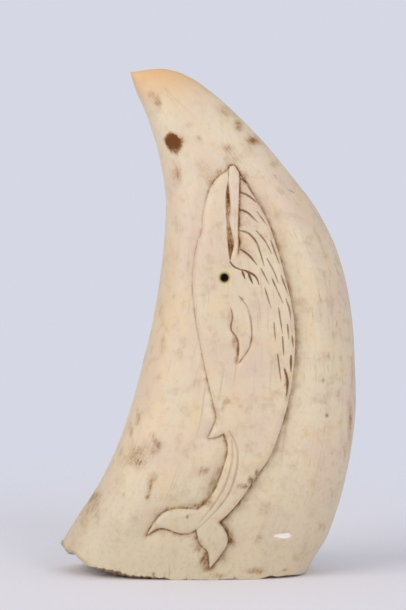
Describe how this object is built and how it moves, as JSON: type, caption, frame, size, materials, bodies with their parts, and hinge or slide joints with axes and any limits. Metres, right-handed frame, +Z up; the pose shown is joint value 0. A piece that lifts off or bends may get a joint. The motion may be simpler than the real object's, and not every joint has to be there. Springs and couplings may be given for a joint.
{
  "type": "scrimshaw whale tooth",
  "caption": "Curved ivory tooth standing on its open root, carved in low relief with a diving whale.",
  "frame": {"origin": "middle of the bounding box's underside, at the height of the level rim of the root", "axes": "+Z up along the tooth, the tip leaning towards -X; the carved face looks along -Y"},
  "size_m": [0.0852, 0.036, 0.145],
  "materials": {
    "ivory": "old whale ivory, cream with brown stains, hand rubbed to a soft gloss",
    "dark_inlay": "near-black polished horn or baleen pin"
  },
  "bodies": {
    "root": {"tooth": "ivory", "eye_pin": "dark_inlay"}
  },
  "joints": []
}
